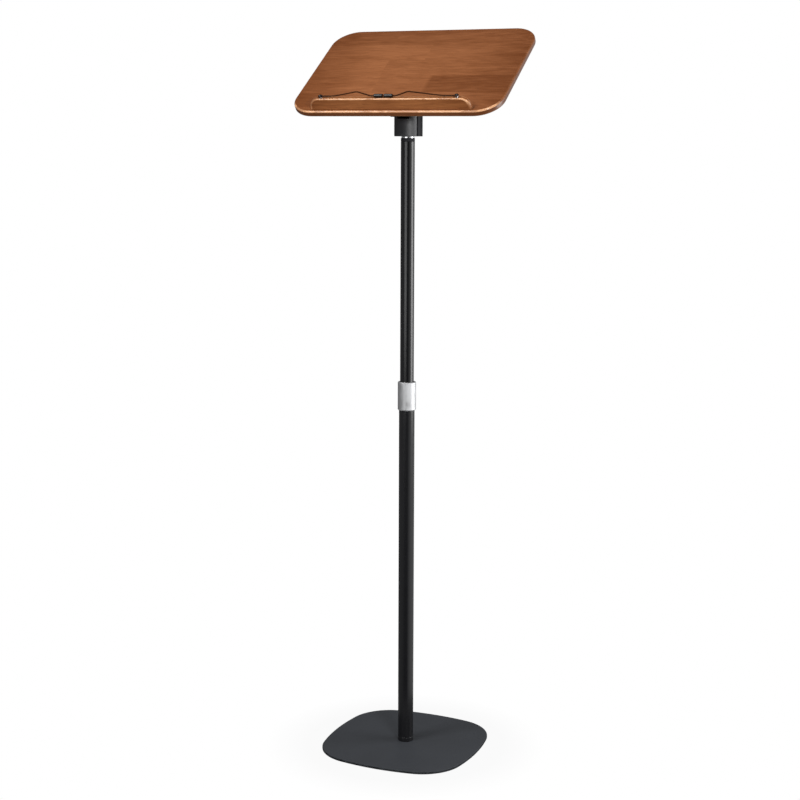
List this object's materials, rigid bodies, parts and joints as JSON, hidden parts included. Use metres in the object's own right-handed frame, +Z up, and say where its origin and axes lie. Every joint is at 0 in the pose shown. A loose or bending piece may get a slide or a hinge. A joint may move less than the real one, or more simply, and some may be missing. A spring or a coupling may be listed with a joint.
{
  "type": "floor-standing laptop and reading stand",
  "caption": "Telescopic floor stand: round-cornered steel plate, twist-lock pole, swivelling tilt head, and a wooden board with a front ledge and sprung wire page holders.",
  "frame": {"origin": "on the floor under the pole's axis, at the underside of the non-slip pad", "axes": "+X to the reader's right along the board's width, +Y away from the reader, +Z up the pole"},
  "size_m": [0.39, 0.2817, 1.301],
  "materials": {
    "base_paint": "satin black powder coat",
    "tube_paint": "semi-gloss black paint",
    "bracket_paint": "matte black paint",
    "foam_rubber": "matte non-slip foam",
    "zinc_steel": "zinc plated",
    "black_steel": "blackened steel",
    "brushed_aluminium": "turned and anodised",
    "chrome": "polished chrome",
    "brass": "plain brass",
    "bearing_plastic": "natural acetal",
    "black_plastic": "fine moulded texture",
    "stained_wood": "stained and satin lacquered",
    "spring_wire": "black coated spring wire",
    "sleeve_vinyl": "glossy black vinyl"
  },
  "bodies": {
    "base": {"base_plate": "base_paint", "base_pad": "foam_rubber", "base_bolt": "zinc_steel", "foot_plug": "tube_paint", "lower_tube": "tube_paint", "guide_sleeve": "bearing_plastic", "ferrule": "zinc_steel", "collet": "bearing_plastic"},
    "collar": {"lock_collar": "brushed_aluminium"},
    "upper_pole": {"upper_tube": "tube_paint", "slide_bush": "bearing_plastic", "tube_cap": "black_plastic", "swivel_spigot": "chrome"},
    "tilt_head": {"swivel_bush": "bearing_plastic", "swivel_screw": "black_steel", "head_housing": "black_plastic", "head_side_cover": "black_plastic", "hinge_bolt": "zinc_steel", "friction_washers": "bearing_plastic", "knob_washer": "zinc_steel"},
    "knob": {"tilt_knob": "black_plastic", "knob_insert": "brass"},
    "reading_board": {"hinge_bracket": "bracket_paint", "tongue_bush": "bearing_plastic", "bracket_screws": "black_steel", "board": "stained_wood", "ledge": "stained_wood", "ledge_screws": "zinc_steel", "pivot_inserts": "brass", "pivot_washers": "zinc_steel", "pivot_screws": "black_steel"},
    "left_page_holder": {"left_page_holder_wire": "spring_wire", "left_page_holder_sleeve": "sleeve_vinyl"},
    "right_page_holder": {"right_page_holder_wire": "spring_wire", "right_page_holder_sleeve": "sleeve_vinyl"}
  },
  "joints": [
    {"name": "pole_slide", "type": "slide", "parent": "base", "child": "upper_pole", "axis": [0, 0, 1], "range_m": [-0.42, 0]},
    {"name": "collar_twist", "type": "hinge", "parent": "base", "child": "collar", "pos_m": [0, 0, 0.65], "axis": [0, 0, 1], "range_deg": [0, 120]},
    {"name": "head_swivel", "type": "hinge", "parent": "upper_pole", "child": "tilt_head", "pos_m": [0, 0, 1.112], "axis": [0, 0, 1], "continuous": true},
    {"name": "board_tilt", "type": "hinge", "parent": "tilt_head", "child": "reading_board", "pos_m": [0, 0, 1.1608], "axis": [1, 0, 0], "range_deg": [-34, 46]},
    {"name": "tilt_knob_turn", "type": "hinge", "parent": "tilt_head", "child": "knob", "pos_m": [-0.0275, 0, 1.1608], "axis": [-1, 0, 0], "range_deg": [-180, 180]},
    {"name": "left_holder_swing", "type": "hinge", "parent": "reading_board", "child": "left_page_holder", "pos_m": [-0.1255, -0.08829, 1.17724], "axis": [0, -0.5592, 0.829], "range_deg": [0, 110]},
    {"name": "right_holder_swing", "type": "hinge", "parent": "reading_board", "child": "right_page_holder", "pos_m": [0.1255, -0.08829, 1.17724], "axis": [0, 0.5592, -0.829], "range_deg": [0, 110]}
  ]
}
